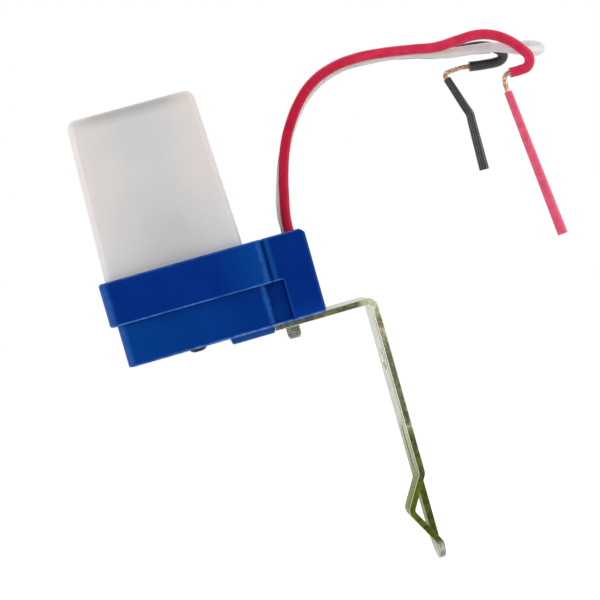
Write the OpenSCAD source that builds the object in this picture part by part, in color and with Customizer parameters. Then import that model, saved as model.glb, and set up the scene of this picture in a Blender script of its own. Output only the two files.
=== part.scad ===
// Photocell switch on a bent steel bracket, with three short leads.
// Millimetres, +Z up, +X towards the wall. The origin is the centre of the bracket's wall hole,
// on the face that lies against the wall. The base, the dome and the leads stand away from the wall in -X.

/* [Bracket] */
// Width of the steel strip
strip_w = 13; // [11:0.5:16]
// Thickness of the steel strip
strip_t = 1.6; // [1.2:0.1:2]
// Outside radius of the bend
bend_r = 2.5; // [2.2:0.1:4]
// Length of strip that lies under the base
strip_under = 12.7; // [11:0.1:14]
// Height of the strip's top face above the wall hole
hole_drop = 16; // [12:0.5:22]
// Diameter of the wall hole
hole_d = 5.5; // [4:0.1:6.5]
// Drop from the wall hole to the tip of the leg
tip_drop = 51.4; // [50:0.2:60]
// Drop from the wall hole to the top of the slit
slit_drop = 17; // [10:0.5:24]
// Width of the slit
slit_w = 0.8; // [0.4:0.1:1.5]
// Drop from the wall hole to the start of the sprung half's bulge
spring_start = 28.6; // [26:0.2:31]
// Drop from the wall hole to the crest of the bulge
spring_crest = 37.2; // [35:0.2:40]
// Drop from the wall hole to the end of the bulge
spring_end = 46.8; // [45:0.2:47.6]
// How far the bulge stands off the leg
spring_bulge = 5.2; // [2:0.2:6]
// Inside radius of the bulge's bends
spring_r = 1; // [0.6:0.1:1.6]

/* [Base housing] */
// Length of the flange
flange_l = 39.5; // [38:0.5:46]
// Width of the flange beyond the dome on each side
flange_rim = 3; // [2.6:0.1:5]
// Height of the flange
flange_h = 10.6; // [9:0.2:14]
// Radius of the flange's upright corners
flange_r = 2.8; // [1:0.1:4]
// Step from the flange in to the lower body
body_step = 1.6; // [1:0.1:2]
// Height from the bottom face to the flange
body_h = 10.1; // [9:0.1:13]
// Radius of the lower body's upright corners
body_r = 2.4; // [1:0.1:3]
// Wall thickness of the moulding
wall = 1.8; // [1.4:0.1:2.2]

/* [Wire block] */
// Clear distance from the block's end to the wall
block_reach = 13; // [10:0.5:18]
// Length of the block beyond the flange
block_l = 10.5; // [10:0.1:13]
// Radius of the block's upright corners
block_r = 0.9; // [0.4:0.1:1.4]
// Chamfer along the top of the block's end
block_chamfer = 1.2; // [0.4:0.1:1.3]
// Length of each side pocket between the body and the block
pocket_l = 4; // [2.5:0.1:5]
// Depth of each side pocket
pocket_d = 5; // [3:0.1:5.4]
// Distance from the block's end to the lead holes
lead_inset = 2.8; // [2.4:0.1:4]
// Spacing of the lead holes
lead_pitch = 4; // [3.6:0.1:4.6]

/* [Dome] */
// Length of the dome at the flange
dome_l = 33.6; // [33:0.2:36]
// Room inside the dome in front of the deepest part and behind the board
dome_room = 1.5; // [1.5:0.1:2.5]
// Height of the dome above the flange
dome_h = 38.7; // [36:0.1:46]
// Draft of each side in degrees
dome_draft = 2.1; // [0.5:0.1:3]
// Radius of the dome's edges
dome_r = 2.4; // [1.8:0.1:4]
// Wall thickness of the dome
dome_wall = 1.5; // [1:0.1:1.7]
// Distance from the flange's free end to the dome
dome_inset = 1.6; // [1.2:0.1:2.4]
// Depth that the dome sinks into the flange
dome_seat = 4; // [2:0.1:5]
// Width of the ledge that the dome's rim rests on
dome_ledge = 1.8; // [1:0.1:2]
// Clearance around the dome's rim
seat_gap = 0.15; // [0.05:0.05:0.3]

/* [Bottom plate] */
// Thickness of the plate's rim
plate_rim = 0.7; // [0.5:0.1:1.2]
// Thickness of the plate inside the rim
plate_t = 2; // [1.8:0.1:2.6]
// Clearance around the plate inside the housing
plate_gap = 0.15; // [0.05:0.05:0.3]
// Length of the locating pad
pad_l = 10.6; // [8:0.1:14]
// Thickness of the locating pad
pad_t = 1.9; // [0.8:0.1:2.4]
// Gap between the pad and the strip's end
pad_gap = 0.1; // [0.05:0.05:0.5]
// Height of the channels that hold the circuit board
channel_h = 3.5; // [2:0.1:5]
// Length of each channel along the board
channel_l = 2; // [1.6:0.1:2.4]

/* [Screws] */
// Thread diameter of the bracket screw
screw_d = 3.5; // [3:0.1:4.5]
// Head diameter of the bracket screw
screw_head_d = 7; // [6:0.1:8.5]
// Head height of the bracket screw
screw_head_h = 2.6; // [2:0.1:3]
// Length of thread that shows below the strip
screw_tail = 3.2; // [1:0.1:4]
// Distance from the strip's end to the bracket screw
screw_inset = 4.7; // [3.5:0.1:5.5]
// Thread diameter of the cover screw
cover_screw_d = 2.6; // [2.2:0.1:3]
// Length of the cover screw below its head
cover_screw_l = 7.6; // [5:0.1:8]
// Head diameter of the cover screw
cover_head_d = 4.8; // [4.4:0.1:5.6]
// Head height of the cover screw
cover_head_h = 2; // [1.3:0.1:2.2]
// Depth of the hollow that takes the cover screw's head
cover_sink = 0.5; // [0.3:0.1:1.2]
// Diameter of the boss that the cover screw bites in
boss_d = 6; // [5:0.1:7]
// Height of that boss
boss_h = 8; // [7:0.1:9]
// Clearance around each screw
screw_gap = 0.05; // [0.02:0.01:0.1]

/* [Circuit board] */
// Width of the board
board_w = 26; // [25.6:0.1:26.6]
// Height of the board
board_h = 50; // [49:0.5:51]
// Thickness of the board
board_t = 1.6; // [1:0.1:2]
// Distance of the board's parts side behind the middle plane
board_front = 6; // [5.8:0.1:6.2]
// Clearance of the board in its channels
board_gap = 0.1; // [0.05:0.05:0.2]
// Diameter of the component wires
wire_d = 0.6; // [0.4:0.05:0.7]
// Clearance of a wire in its hole
wire_gap = 0.1; // [0.05:0.05:0.2]
// Length of wire that shows behind the board
wire_tail = 1; // [0.6:0.1:1.2]
// Relay length, height and depth
relay_size = [19, 15.5, 15]; // [12:0.1:20]
// Film capacitor length, height and depth
film_size = [17, 11.5, 7]; // [5:0.1:18]
// Diameter of the electrolytic capacitor
can_d = 8; // [6:0.1:8.4]
// Height of the electrolytic capacitor
can_h = 11.5; // [8:0.1:13]
// Diameter of the photoresistor
eye_d = 5; // [4:0.1:5.4]

/* [Leads] */
// Outside diameter of each lead
lead_d = 2.5; // [2:0.05:2.7]
// Clearance of a lead in its hole
lead_gap = 0.15; // [0.05:0.05:0.3]
// Outside diameter of a cut sleeve at the strands, where it was pulled thin
sleeve_d = 1.9; // [1.8:0.05:2.6]
// Diameter of the twisted copper strands
strand_d = 1.2; // [0.8:0.05:1.4]
// Clearance of the strands in a cut sleeve
strand_gap = 0.1; // [0.05:0.05:0.2]

/* [Hidden] */
$fn = 48;

// Places along the part, from the wall
block_end = -block_reach;
flange_end = block_end - block_l;
flange_start = flange_end - flange_l;
body_start = flange_start + body_step;
body_end = flange_end - body_step;
pocket_end = body_end + pocket_l;
dome_start = flange_start + dome_inset;
dome_end = dome_start + dome_l;
dome_mid = (dome_start + dome_end) / 2;
strip_end = block_end - strip_under;
screw_x = strip_end + screw_inset;
lead_x = block_end - lead_inset;

// Heights, from the wall hole
under_z = hole_drop;
seam_z = under_z + plate_rim;
floor_z = under_z + plate_t;
flange_z = under_z + body_h;
top_z = flange_z + flange_h;
seat_z = top_z - dome_seat;
duct_z = seat_z - wall;

// Widths, and the hollow inside the housing
board_back = board_front + board_t;
deepest = max(relay_size[2], film_size[2], can_h) - board_front;
dome_w = 2 * (max(deepest, board_back + wire_tail) + dome_room + dome_wall);
flange_w = dome_w + 2 * flange_rim;
body_w = flange_w - 2 * body_step;
well_start = dome_start + dome_ledge;
well_end = dome_end - dome_ledge;
well_w = dome_w - 2 * dome_ledge;
duct_end = lead_x + lead_d / 2 + lead_gap;
duct_w = body_w - 2 * pocket_d - 2 * wall;
core_start = pocket_end + wall;
core_w = pocket_d - wall;
boss_rib_t = 2;
overlap = 0.5;

// Parts on the board, as places along X and Z measured from the middle of the board's bottom edge
board_mid = [dome_mid, floor_z];
relay_at = [-1.5, 20.75];
relay_pins = [[-7.6, -6], [-7.6, 6], [5, -6], [5, 6], [7.6, 0]];
film_at = [-3.7, 36.75];
film_pins = [[-7.5, 0], [7.5, 0]];
can_at = [9.2, 36.5];
can_pins = [[-1.75, 0], [1.75, 0]];
transistor_at = [11, 22];
transistor_pins = [[0, -1.3], [0, 0], [0, 1.3]];
transistor_d = 4.6;
transistor_h = 4.8;
transistor_flat = 1.2;
transistor_lift = 3;
eye_at = [10.4, 46.4];
eye_pins = [[-1.7, 0], [1.7, 0]];
eye_t = 2;
eye_lift = 4;
diode_at = [[-10.7, 7], [-7.5, 7], [-4.3, 7], [4.3, 7]];
diode_size = [2.7, 5.2, 9];
resistor_at = [[-7.2, 44.6], [-7.2, 48], [3.7, 44.6]];
resistor_size = [2.4, 6.3, 9];
zener_at = [3.7, 48];
zener_size = [1.9, 4.2, 7.6];
body_lift = 0.3;
solder_d = 1.8;
solder_h = 0.9;

// Leads, as points measured from the mouth of each lead's hole, first inside the housing and then outside
lead_sides = 8;
lead_turn = [[-3, 0, -10.6], [-0.6, 0, -8.8], [0, 0, -6.5]];
red_inside = [
    [-19.2, 10, -15.7], [-19.2, 7.2, -15.7], [-18.6, 5.2, -15.6], [-16.6, 3.4, -14.9], [-12, 0.4, -12]
];
white_inside = [
    [-19.2, 6, -12.7], [-19.2, 4.2, -12.7], [-18.6, 2.6, -12.7], [-16.6, 1, -12.4], [-12, 0, -11.7]
];
black_inside = [
    [-19.2, 2, -9.7], [-19.2, 0.4, -9.7], [-18.6, -0.8, -9.7], [-16.4, -1.6, -9.9], [-12, -1, -10.9]
];
red_outside = [
    [0, 0, 0], [0.2, 0, 3.5], [1.2, 0, 8.5], [2.7, 0, 14.3], [5.2, 0, 21], [7.8, 0, 25.4], [10.6, 0, 29],
    [14.8, 0, 32.7], [20.4, 0, 35.1], [26.8, 0, 35.9], [33.3, 0, 35.5], [41.3, 0, 34.3], [46.8, 0, 33.4],
    [52.4, 0, 33.6], [57, 0, 33.7], [60.8, 0, 32.8], [64.4, 0, 30.6], [67.2, 0, 27.6], [68.6, 0, 24.8],
    [67.6, 0, 23], [65.4, 0, 22.6], [63, 0, 22.6]
];
white_outside = [
    [0, 0, 0], [-0.3, 0, 2.6], [0, 0, 5.4], [1, 0, 9.4], [2.7, 0, 14], [5.8, 0, 21], [10.2, 0, 27.4],
    [15.2, 0, 32], [22.5, 0, 35], [31, 0, 35.4], [41.3, 0, 34.1], [49.3, 0, 31.8], [56.8, 0, 30.8],
    [62, 0, 30], [66.4, 0, 28.4], [70.6, 0.4, 26.8], [73.4, 2.2, 26.7], [74.2, 4.6, 27.6], [73, 6.8, 28.7],
    [70, 7.6, 29.4], [67, 7.6, 29.8]
];
black_outside = [
    [0, 0, 0], [0.15, 0, 2.8], [0.6, 0, 6], [2.3, 0, 12.5], [5.9, 0, 21], [10.2, 0, 27.6], [15.2, 0, 32.3],
    [22.5, 0, 35.4], [31, 0, 35.8], [41.3, 0, 34.6], [49.4, 0, 32.4], [55.6, 0, 32], [58.4, 0, 31.8],
    [61.2, 0, 31.1], [63.4, 0.15, 30], [64.8, 0.8, 28.7], [65, 1.7, 27.6], [64.2, 2.5, 27], [62.6, 2.7, 26.9],
    [60.6, 2.7, 27.05], [58.3, 2.7, 27.3], [56.3, 2.7, 27.6]
];

// Bare strands and the cut sleeves that hang on them, from the same mouths
red_bare = [
    [63, 0, 22.6], [62.3, 0, 22.6], [61.6, 0, 22.2], [61.2, 0, 21.5], [61.1, 0, 19.9], [61.2, 0, 18.3],
    [61.6, 0, 14.3]
];
white_bare = [[67, 7.6, 29.8], [64, 7.6, 30.2], [62.8, 7.6, 30.4], [59, 7.6, 31.2]];
black_bare = [
    [56.3, 2.7, 27.6], [54.7, 2.7, 27.84], [50.7, 2.7, 27.7], [49.9, 2.7, 27.3], [49.7, 2.7, 26.7],
    [50, 2.7, 25.8], [51.1, 2.7, 22.6]
];
red_cut = [[61.2, 0, 18.3], [65.1, 0, -18.9]];
white_cut = [[62.8, 7.6, 30.4], [39.8, 7.6, 35.2]];
black_cut = [[49.9, 2.7, 26.2], [53.2, 2.7, 16], [53, 2.7, 1.6]];

// Places worked out from the values above
function lead_mouth(side) = [lead_x, side * lead_pitch, top_z];
function from_mouth(side, points) = [for (p = points) lead_mouth(side) + p];
function lead_route(side, inside, outside) = from_mouth(side, concat(inside, lead_turn, outside));
function on_board(at, pins) = [for (p = pins) board_mid + at + p];
function axial_pins(size, upright) = upright
    ? [[0, -size[2] / 2], [0, size[2] / 2]]
    : [[-size[2] / 2, 0], [size[2] / 2, 0]];
all_pins = concat(
    on_board(relay_at, relay_pins), on_board(film_at, film_pins), on_board(can_at, can_pins),
    on_board(transistor_at, transistor_pins), on_board(eye_at, eye_pins),
    on_board(zener_at, axial_pins(zener_size, false)),
    [for (at = diode_at) each on_board(at, axial_pins(diode_size, true))],
    [for (at = resistor_at) each on_board(at, axial_pins(resistor_size, false))]
);

// Directions and rings of a tube swept along a list of points
function unit(v) = v / norm(v);
function heading(points, i) = let (last = len(points) - 1)
    unit(points[min(i + 1, last)] - points[max(i - 1, 0)]);
function square_to(v, along) = unit(v - (v * along) * along);
function carried(points, i) = i == 0
    ? square_to([0, 0, 1], heading(points, 0))
    : square_to(carried(points, i - 1), heading(points, i));
function ring(centre, along, across, radius, sides) = let (third = cross(along, across))
    [for (k = [0 : sides - 1]) let (a = 360 * k / sides)
        centre + radius * (cos(a) * across + sin(a) * third)];

// A tube along the points, of one diameter at the first of them and another at the last
module swept_tube(points, d, sides, end_d) {
    last = len(points) - 1;
    radii = [for (i = [0 : last]) (d + (end_d - d) * i / last) / 2];
    rings = [for (i = [0 : last]) each
        ring(points[i], heading(points, i), carried(points, i), radii[i], sides)];
    walls = [for (i = [0 : last - 1], k = [0 : sides - 1]) let (n = (k + 1) % sides)
        each [[i * sides + k, (i + 1) * sides + n, i * sides + n],
              [i * sides + k, (i + 1) * sides + k, (i + 1) * sides + n]]];
    near_cap = [for (k = [0 : sides - 1]) k];
    far_cap = [for (k = [sides - 1 : -1 : 0]) last * sides + k];
    polyhedron(points = rings, faces = concat([near_cap], walls, [far_cap]));
}

// A block between two places along X and two heights, centred on the middle plane, with round upright corners
module rounded_block(x0, x1, w, z0, z1, r) {
    translate([x0 + r, -w / 2, z0]) cube([x1 - x0 - 2 * r, w, z1 - z0]);
    translate([x0, r - w / 2, z0]) cube([x1 - x0, w - 2 * r, z1 - z0]);
    for (x = [x0 + r, x1 - r], y = [r - w / 2, w / 2 - r]) translate([x, y, z0]) cylinder(h = z1 - z0, r = r);
}

// A plain block between two places along X and two heights, centred on the middle plane
module plain_block(x0, x1, w, z0, z1) {
    translate([x0, -w / 2, z0]) cube([x1 - x0, w, z1 - z0]);
}

module upright_bore(x, y, d, z0, z1) {
    translate([x, y, z0]) cylinder(h = z1 - z0, d = d);
}

module base_outside() {
    rounded_block(flange_start, flange_end, flange_w, flange_z, top_z, flange_r);
    rounded_block(body_start, body_end, body_w, seam_z, flange_z, body_r);
    difference() {
        rounded_block(flange_end - flange_r, block_end, body_w, flange_z, top_z, block_r);
        translate([block_end, 0, top_z]) rotate([0, 45, 0])
            cube([block_chamfer * sqrt(2), body_w + overlap, block_chamfer * sqrt(2)], center = true);
    }
    rounded_block(pocket_end, block_end, body_w, seam_z, flange_z, block_r);
    plain_block(body_end - body_r, pocket_end + block_r, body_w - 2 * pocket_d, seam_z, flange_z);
}

module base_hollow() {
    rounded_block(dome_start - seat_gap, dome_end + seat_gap, dome_w + 2 * seat_gap, seat_z, top_z + overlap,
        dome_r + seat_gap);
    plain_block(well_start, well_end, well_w, seam_z - overlap, seat_z + overlap);
    plain_block(well_end - overlap, duct_end, duct_w, seam_z - overlap, duct_z);
    for (y = [-1, 1]) translate([0, y * (body_w / 2 - wall - core_w / 2), 0])
        plain_block(core_start, duct_end, core_w, seam_z - overlap, flange_z - wall);
    for (side = [-1, 0, 1])
        upright_bore(lead_x, side * lead_pitch, lead_d + 2 * lead_gap, duct_z - overlap, top_z + overlap);
}

module cover_boss() {
    difference() {
        union() {
            upright_bore(dome_mid, 0, boss_d, floor_z, floor_z + boss_h);
            translate([dome_mid - boss_rib_t / 2, -well_w / 2 - overlap, floor_z])
                cube([boss_rib_t, well_w / 2 + overlap, boss_h]);
        }
        upright_bore(dome_mid, 0, cover_screw_d + 2 * screw_gap, floor_z - overlap,
            under_z + cover_sink + cover_screw_l + overlap);
    }
}

module base_housing() color([0.02, 0.17, 0.47]) {
    difference() {
        base_outside();
        base_hollow();
    }
    cover_boss();
}

module board_channel(x0) {
    difference() {
        translate([x0, board_front - wall, floor_z - overlap])
            cube([channel_l, board_t + 2 * wall, channel_h + overlap]);
        translate([x0 - overlap, board_front - board_gap, floor_z])
            cube([channel_l + 2 * overlap, board_t + 2 * board_gap, channel_h + overlap]);
    }
}

module bottom_plate() color([0.03, 0.2, 0.5]) {
    channel_out = (board_w + channel_l) / 2;
    difference() {
        union() {
            rounded_block(body_start, block_end, body_w, under_z, seam_z, body_r);
            plain_block(well_start + plate_gap, well_end - plate_gap, well_w - 2 * plate_gap,
                under_z, floor_z);
            plain_block(well_end - 2 * plate_gap - overlap, duct_end - plate_gap, duct_w - 2 * plate_gap,
                under_z, floor_z);
            plain_block(strip_end - pad_gap - pad_l, strip_end - pad_gap, strip_w, under_z - pad_t, seam_z);
            for (side = [-1, 1])
                board_channel(dome_mid + side * channel_out - channel_l / 2 - side * wall / 2);
        }
        upright_bore(screw_x, 0, screw_d + 2 * screw_gap, under_z - overlap, floor_z + overlap);
        upright_bore(dome_mid, 0, cover_screw_d + 2 * screw_gap, under_z - overlap, floor_z + overlap);
        upright_bore(dome_mid, 0, cover_head_d + 2 * screw_gap, under_z - overlap, under_z + cover_sink);
    }
}

// The dome's walls lean in by its draft; in is the wall thickness taken off every side
module dome_form(in) {
    lean = dome_h * tan(dome_draft);
    r = dome_r - in;
    dome_top = top_z + dome_h - in;
    thin = 0.01;
    hull() {
        for (x = [dome_start + dome_r, dome_end - dome_r], y = [dome_r - dome_w / 2, dome_w / 2 - dome_r])
            translate([x, y, top_z]) cylinder(h = thin, r = r, $fn = 32);
        for (x = [dome_start + lean + dome_r, dome_end - lean - dome_r])
            for (y = [dome_r + lean - dome_w / 2, dome_w / 2 - lean - dome_r])
                translate([x, y, dome_top - r]) sphere(r = r, $fn = 32);
    }
    rounded_block(dome_start + in, dome_end - in, dome_w - 2 * in, seat_z - (in > 0 ? overlap : 0),
        top_z + thin, r);
}

module dome_cover() color([0.88, 0.88, 0.86]) {
    difference() {
        dome_form(0);
        dome_form(dome_wall);
    }
}

module leg_outline() {
    r = strip_w / 2;
    deep = 2 * (spring_bulge + strip_t);
    translate([-deep, -r, r - tip_drop]) cube([2 * deep, strip_w, tip_drop + hole_drop]);
    translate([-deep, 0, r - tip_drop]) rotate([0, 90, 0]) cylinder(h = 2 * deep, r = r);
}

// Points that round the corner at b, between a and c, with an arc
function round_corner(a, b, c, r) = let (
    u = unit(a - b),
    v = unit(c - b),
    half = acos(u * v) / 2,
    centre = b + unit(u + v) * r / sin(half),
    start = b + u * r / tan(half) - centre,
    turn = sign(cross(u, v)) * (180 - 2 * half)
) [for (i = [0 : arc_steps]) let (s = -turn * i / arc_steps)
    centre + [start[0] * cos(s) - start[1] * sin(s), start[0] * sin(s) + start[1] * cos(s)]];

// One face of the sprung half, from top to bottom, and the other face a strip's thickness away
arc_steps = 6;
spring_corners = [
    [-strip_t, bend_r - spring_start], [-strip_t, -spring_start], [-strip_t - spring_bulge, -spring_crest],
    [-strip_t, -spring_end], [-strip_t, -spring_end - bend_r]
];
bend_radii = [0, spring_r, spring_r + strip_t, spring_r, 0];
spring_face = concat(
    [spring_corners[0]],
    [for (i = [1 : 3]) each
        round_corner(spring_corners[i - 1], spring_corners[i], spring_corners[i + 1], bend_radii[i])],
    [spring_corners[4]]
);
function face_normal(from, to) = let (d = unit(to - from)) [-d[1], d[0]];
function far_corner(path, i) = let (
    last = len(path) - 1,
    before = face_normal(path[max(i - 1, 0)], path[max(i, 1)]),
    after = face_normal(path[min(i, last - 1)], path[min(i + 1, last)])
) path[i] + strip_t * (before + after) / (1 + before * after);

module sprung_half() {
    last = len(spring_face) - 1;
    other_face = [for (i = [last : -1 : 0]) far_corner(spring_face, i)];
    translate([0, -slit_w / 2, 0]) rotate([90, 0, 0]) linear_extrude(height = (strip_w - slit_w) / 2)
        polygon(concat(spring_face, other_face));
}

module leg() {
    intersection() {
        leg_outline();
        union() {
            difference() {
                translate([-strip_t, -strip_w / 2, -tip_drop])
                    cube([strip_t, strip_w, tip_drop + hole_drop - bend_r]);
                translate([-strip_t - overlap, -slit_w / 2, -spring_end])
                    cube([strip_t + 2 * overlap, slit_w, spring_end - slit_drop]);
                translate([-strip_t - overlap, -strip_w / 2 - overlap, -spring_end])
                    cube([strip_t + 2 * overlap, strip_w / 2 + overlap, spring_end - spring_start]);
            }
            sprung_half();
        }
    }
}

module bend() {
    intersection() {
        translate([-bend_r, 0, under_z - bend_r]) rotate([90, 0, 0]) difference() {
            cylinder(h = strip_w, r = bend_r, center = true);
            cylinder(h = strip_w + overlap, r = bend_r - strip_t, center = true);
        }
        plain_block(-bend_r, overlap, strip_w + overlap, under_z - bend_r, under_z + overlap);
    }
}

module mounting_bracket() color([0.55, 0.56, 0.44]) {
    difference() {
        union() {
            plain_block(strip_end, -bend_r, strip_w, under_z - strip_t, under_z);
            bend();
            leg();
        }
        upright_bore(screw_x, 0, screw_d + 2 * screw_gap, under_z - strip_t - overlap, under_z + overlap);
        translate([-strip_t - overlap, 0, 0]) rotate([0, 90, 0])
            cylinder(h = strip_t + 2 * overlap, d = hole_d);
    }
}

module bracket_screw() color([0.5, 0.5, 0.48]) {
    r = screw_d / 2;
    point = r / 3;
    tail_z = under_z - strip_t - screw_tail;
    translate([screw_x, 0, 0]) {
        rotate_extrude() polygon([
            [0, tail_z], [r - point, tail_z], [r, tail_z + point],
            [r, floor_z + overlap], [0, floor_z + overlap]
        ]);
        intersection() {
            translate([0, 0, floor_z]) cylinder(h = screw_head_h, d = screw_head_d);
            translate([0, 0, floor_z + screw_head_h - screw_head_d]) sphere(r = screw_head_d);
        }
    }
}

module cover_screw() color([0.12, 0.12, 0.13]) {
    seat = under_z + cover_sink;
    upright_bore(dome_mid, 0, cover_screw_d, seat - overlap, seat + cover_screw_l);
    intersection() {
        upright_bore(dome_mid, 0, cover_head_d, seat - cover_head_h, seat);
        translate([dome_mid, 0, seat - cover_head_h + cover_head_d / 2 + overlap])
            sphere(d = cover_head_d + 2 * overlap);
    }
}

// A round pin at a place on the board, from one depth to another
module board_pin(at, d, y0, y1) {
    translate([at[0], y1, at[1]]) rotate([90, 0, 0]) cylinder(h = y1 - y0, d = d);
}

module board_pins(places, y0) {
    for (at = places) board_pin(at, wire_d, y0, board_back + wire_tail);
}

// A box on the board's parts side; size gives its length, height and depth
module board_box(at, size) {
    centre = board_mid + at;
    translate([centre[0] - size[0] / 2, board_front - size[2], centre[1] - size[1] / 2])
        cube([size[0], size[2], size[1]]);
}

// A round body lying on the board with a wire out of each end; size gives diameter, length and wire spread
module axial_part(at, size, upright) {
    depth = board_front - body_lift - size[0] / 2;
    centre = board_mid + at;
    translate([centre[0], depth, centre[1]]) rotate([0, upright ? 0 : 90, 0]) {
        cylinder(h = size[1], d = size[0], center = true);
        cylinder(h = size[2], d = wire_d, center = true);
    }
    for (p = on_board(at, axial_pins(size, upright))) translate([p[0], depth, p[1]]) sphere(d = wire_d);
    board_pins(on_board(at, axial_pins(size, upright)), depth);
}

module circuit_board() color([0.55, 0.42, 0.2]) {
    difference() {
        translate([dome_mid - board_w / 2, board_front, floor_z]) cube([board_w, board_t, board_h]);
        for (at = all_pins) board_pin(at, wire_d + 2 * wire_gap, board_front - overlap, board_back + overlap);
    }
}

module relay() color([0.1, 0.25, 0.6]) {
    board_box(relay_at, relay_size);
    board_pins(on_board(relay_at, relay_pins), board_front - overlap);
}

module film_capacitor() color([0.7, 0.55, 0.1]) {
    board_box(film_at, film_size);
    board_pins(on_board(film_at, film_pins), board_front - overlap);
}

module electrolytic_capacitor() color([0.1, 0.1, 0.12]) {
    board_pin(board_mid + can_at, can_d, board_front - can_h, board_front);
    board_pins(on_board(can_at, can_pins), board_front - overlap);
}

module rectifier_diodes() color([0.13, 0.13, 0.13]) {
    for (at = diode_at) axial_part(at, diode_size, true);
}

module zener_diode() color([0.7, 0.35, 0.2]) {
    axial_part(zener_at, zener_size, false);
}

module resistors() color([0.75, 0.65, 0.45]) {
    for (at = resistor_at) axial_part(at, resistor_size, false);
}

module transistor() color([0.1, 0.1, 0.1]) {
    front = board_front - transistor_lift - transistor_h;
    centre = board_mid + transistor_at;
    difference() {
        board_pin(centre, transistor_d, front, front + transistor_h);
        translate([centre[0] + transistor_flat, front - overlap, centre[1] - transistor_d])
            cube([transistor_d, transistor_h + 2 * overlap, 2 * transistor_d]);
    }
    board_pins(on_board(transistor_at, transistor_pins), front + overlap);
}

module photoresistor() color([0.75, 0.3, 0.2]) {
    front = board_front - eye_lift - eye_t;
    board_pin(board_mid + eye_at, eye_d, front, front + eye_t);
    board_pins(on_board(eye_at, eye_pins), front + overlap);
}

module solder_joints() color([0.75, 0.76, 0.78]) {
    for (at = all_pins) difference() {
        translate([at[0], board_back, at[1]]) rotate([-90, 0, 0])
            cylinder(h = solder_h, d1 = solder_d, d2 = solder_d / 2);
        board_pin(at, wire_d + screw_gap, board_back - overlap, board_back + solder_h + overlap);
    }
}

module red_lead() color([0.72, 0.13, 0.25])
    swept_tube(lead_route(-1, red_inside, red_outside), lead_d, lead_sides, lead_d);

module white_lead() color([0.88, 0.86, 0.85])
    swept_tube(lead_route(0, white_inside, white_outside), lead_d, lead_sides, lead_d);

module black_lead() color([0.1, 0.1, 0.1])
    swept_tube(lead_route(1, black_inside, black_outside), lead_d, lead_sides, lead_d);

module bare_strands(side, points) color([0.72, 0.5, 0.36])
    swept_tube(from_mouth(side, points), strand_d, lead_sides, strand_d);

module red_strands() bare_strands(-1, red_bare);

module white_strands() bare_strands(0, white_bare);

module black_strands() bare_strands(1, black_bare);

// A length of insulation cut free and slid along the strands, open at both ends
module cut_sleeve(side, points) {
    places = from_mouth(side, points);
    bore_d = strand_d + 2 * strand_gap;
    last = len(places) - 1;
    first_step = unit(places[0] - places[1]) * overlap;
    last_step = unit(places[last] - places[last - 1]) * overlap;
    inner = [for (i = [0 : last]) places[i] + (i == 0 ? first_step : i == last ? last_step : [0, 0, 0])];
    difference() {
        swept_tube(places, sleeve_d, lead_sides, lead_d);
        swept_tube(inner, bore_d, lead_sides, bore_d);
    }
}

module red_end_sleeve() color([0.76, 0.2, 0.3]) cut_sleeve(-1, red_cut);

module white_end_sleeve() color([0.88, 0.86, 0.85]) cut_sleeve(0, white_cut);

module black_end_sleeve() color([0.12, 0.12, 0.12]) cut_sleeve(1, black_cut);

base_housing();
bottom_plate();
dome_cover();
mounting_bracket();
bracket_screw();
cover_screw();
circuit_board();
relay();
film_capacitor();
electrolytic_capacitor();
rectifier_diodes();
zener_diode();
resistors();
transistor();
photoresistor();
solder_joints();
red_lead();
white_lead();
black_lead();
red_strands();
white_strands();
black_strands();
red_end_sleeve();
white_end_sleeve();
black_end_sleeve();
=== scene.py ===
"""Looks of a photocell switch on a bent steel bracket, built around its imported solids.

Lengths are written in millimetres and turned into metres where they are used. The origin is the centre of
the bracket's wall hole, with +Z up and +X into the wall.
"""

import math

import bmesh
import bpy
from mathutils import Matrix, Vector


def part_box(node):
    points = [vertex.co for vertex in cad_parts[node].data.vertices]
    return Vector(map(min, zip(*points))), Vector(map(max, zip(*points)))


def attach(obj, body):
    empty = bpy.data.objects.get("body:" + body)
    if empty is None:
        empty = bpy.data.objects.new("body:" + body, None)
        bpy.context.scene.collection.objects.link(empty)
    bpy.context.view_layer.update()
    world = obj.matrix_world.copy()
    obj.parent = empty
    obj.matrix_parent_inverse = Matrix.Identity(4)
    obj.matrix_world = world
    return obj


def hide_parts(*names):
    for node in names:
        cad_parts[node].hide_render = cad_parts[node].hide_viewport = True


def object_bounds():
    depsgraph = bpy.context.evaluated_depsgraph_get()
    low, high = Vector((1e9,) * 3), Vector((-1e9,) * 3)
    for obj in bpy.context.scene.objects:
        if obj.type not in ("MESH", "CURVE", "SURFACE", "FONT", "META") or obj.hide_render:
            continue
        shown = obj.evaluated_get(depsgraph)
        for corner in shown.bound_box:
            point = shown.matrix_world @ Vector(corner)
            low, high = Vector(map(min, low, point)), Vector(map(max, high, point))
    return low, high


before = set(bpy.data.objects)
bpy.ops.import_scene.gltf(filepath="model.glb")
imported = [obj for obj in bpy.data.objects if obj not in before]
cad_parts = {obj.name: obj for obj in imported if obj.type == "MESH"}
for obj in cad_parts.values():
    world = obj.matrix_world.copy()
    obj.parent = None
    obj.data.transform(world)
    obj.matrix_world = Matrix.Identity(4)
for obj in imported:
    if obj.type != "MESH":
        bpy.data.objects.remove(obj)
cad_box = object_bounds()

MM = 0.001
ROOT = "root"


def ends(node):
    """The lowest and the highest corner of a node's solid, in millimetres."""
    low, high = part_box(node)
    return low / MM, high / MM


# Camera, fitted to the photograph
CAMERA_PLACE = (-45.3, -333.3, 35.3)
CAMERA_YAW = 4.78
CAMERA_PITCH = 2.66
CAMERA_ROLL = 15.81
CAMERA_LENS = 81.85
CAMERA_SENSOR = 36.0
CAMERA_NEAR = 10.0

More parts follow.
